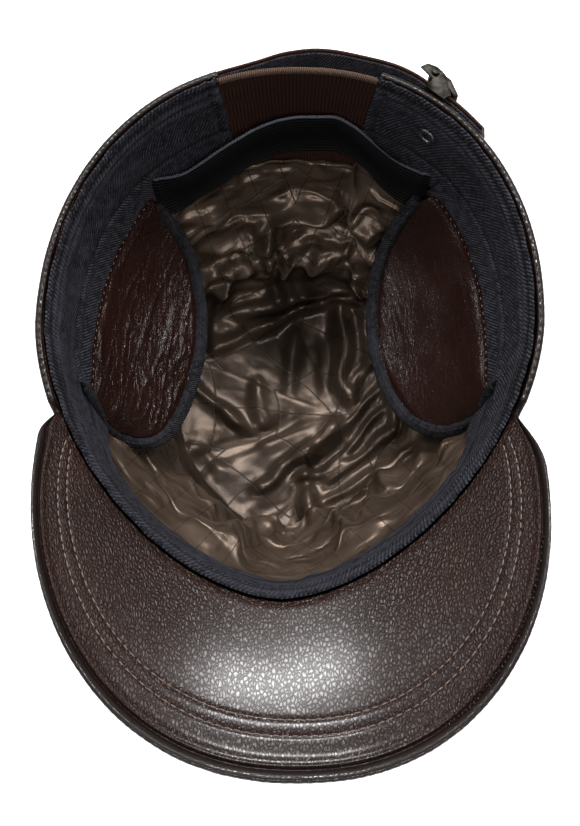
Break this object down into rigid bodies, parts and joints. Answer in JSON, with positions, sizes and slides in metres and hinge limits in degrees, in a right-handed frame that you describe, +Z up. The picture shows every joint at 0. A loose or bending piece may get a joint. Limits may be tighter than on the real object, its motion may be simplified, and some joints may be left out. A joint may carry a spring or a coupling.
{
  "type": "leather jockey cap with ear flaps",
  "caption": "Panelled leather cap with a curved peak, folded ear flaps, quilted lining and a rear strap, lying upside down on its crown.",
  "frame": {"origin": "centre of the bounding box, on the surface that the cap lies on, crown down", "axes": "+Z up out of the head opening, +Y to the rear of the cap, so the peak points to -Y, +X to the right as seen from above with the peak nearest the viewer"},
  "size_m": [0.1814, 0.2694, 0.1407],
  "materials": {
    "crown_leather": "pebbled dark brown, semi-gloss",
    "under_leather": "pebbled brown, semi-gloss",
    "flap_leather": "wrinkled dark reddish brown, glossy",
    "black_twill": "cotton twill, matt",
    "black_elastic": "ribbed elastic, matt",
    "satin_lining": "quilted satin, glossy",
    "brown_knit": "ribbed knit, matt",
    "clasp_metal": "antique grey",
    "eyelet_metal": "black with a worn shiny rim"
  },
  "bodies": {
    "cap": {"crown_panel_front_left": "crown_leather", "crown_panel_front_right": "crown_leather", "crown_panel_side_left": "crown_leather", "crown_panel_side_right": "crown_leather", "crown_panel_rear_left": "crown_leather", "crown_panel_rear_right": "crown_leather", "peak_body": "crown_leather", "peak_under": "under_leather", "sweatband": "black_twill", "lining": "satin_lining", "ear_flap_left": "flap_leather", "ear_flap_right": "flap_leather", "flap_binding_left": "black_twill", "flap_binding_right": "black_twill", "flap_hinge_strip_left": "black_twill", "flap_hinge_strip_right": "black_twill", "elastic_band": "black_elastic", "knit_panel": "brown_knit", "adjuster_strap": "crown_leather", "strap_backing": "black_twill", "clasp_frame": "clasp_metal", "clasp_pin": "clasp_metal", "ring_eyelet": "eyelet_metal"},
    "lever": {"clasp_lever": "clasp_metal"}
  },
  "joints": [
    {"name": "clasp_lever_hinge", "type": "hinge", "parent": "cap", "child": "lever", "pos_m": [0.05277, 0.12217, 0.10695], "axis": [0.0872, 0.1408, 0.9862], "range_deg": [0, 100]}
  ]
}
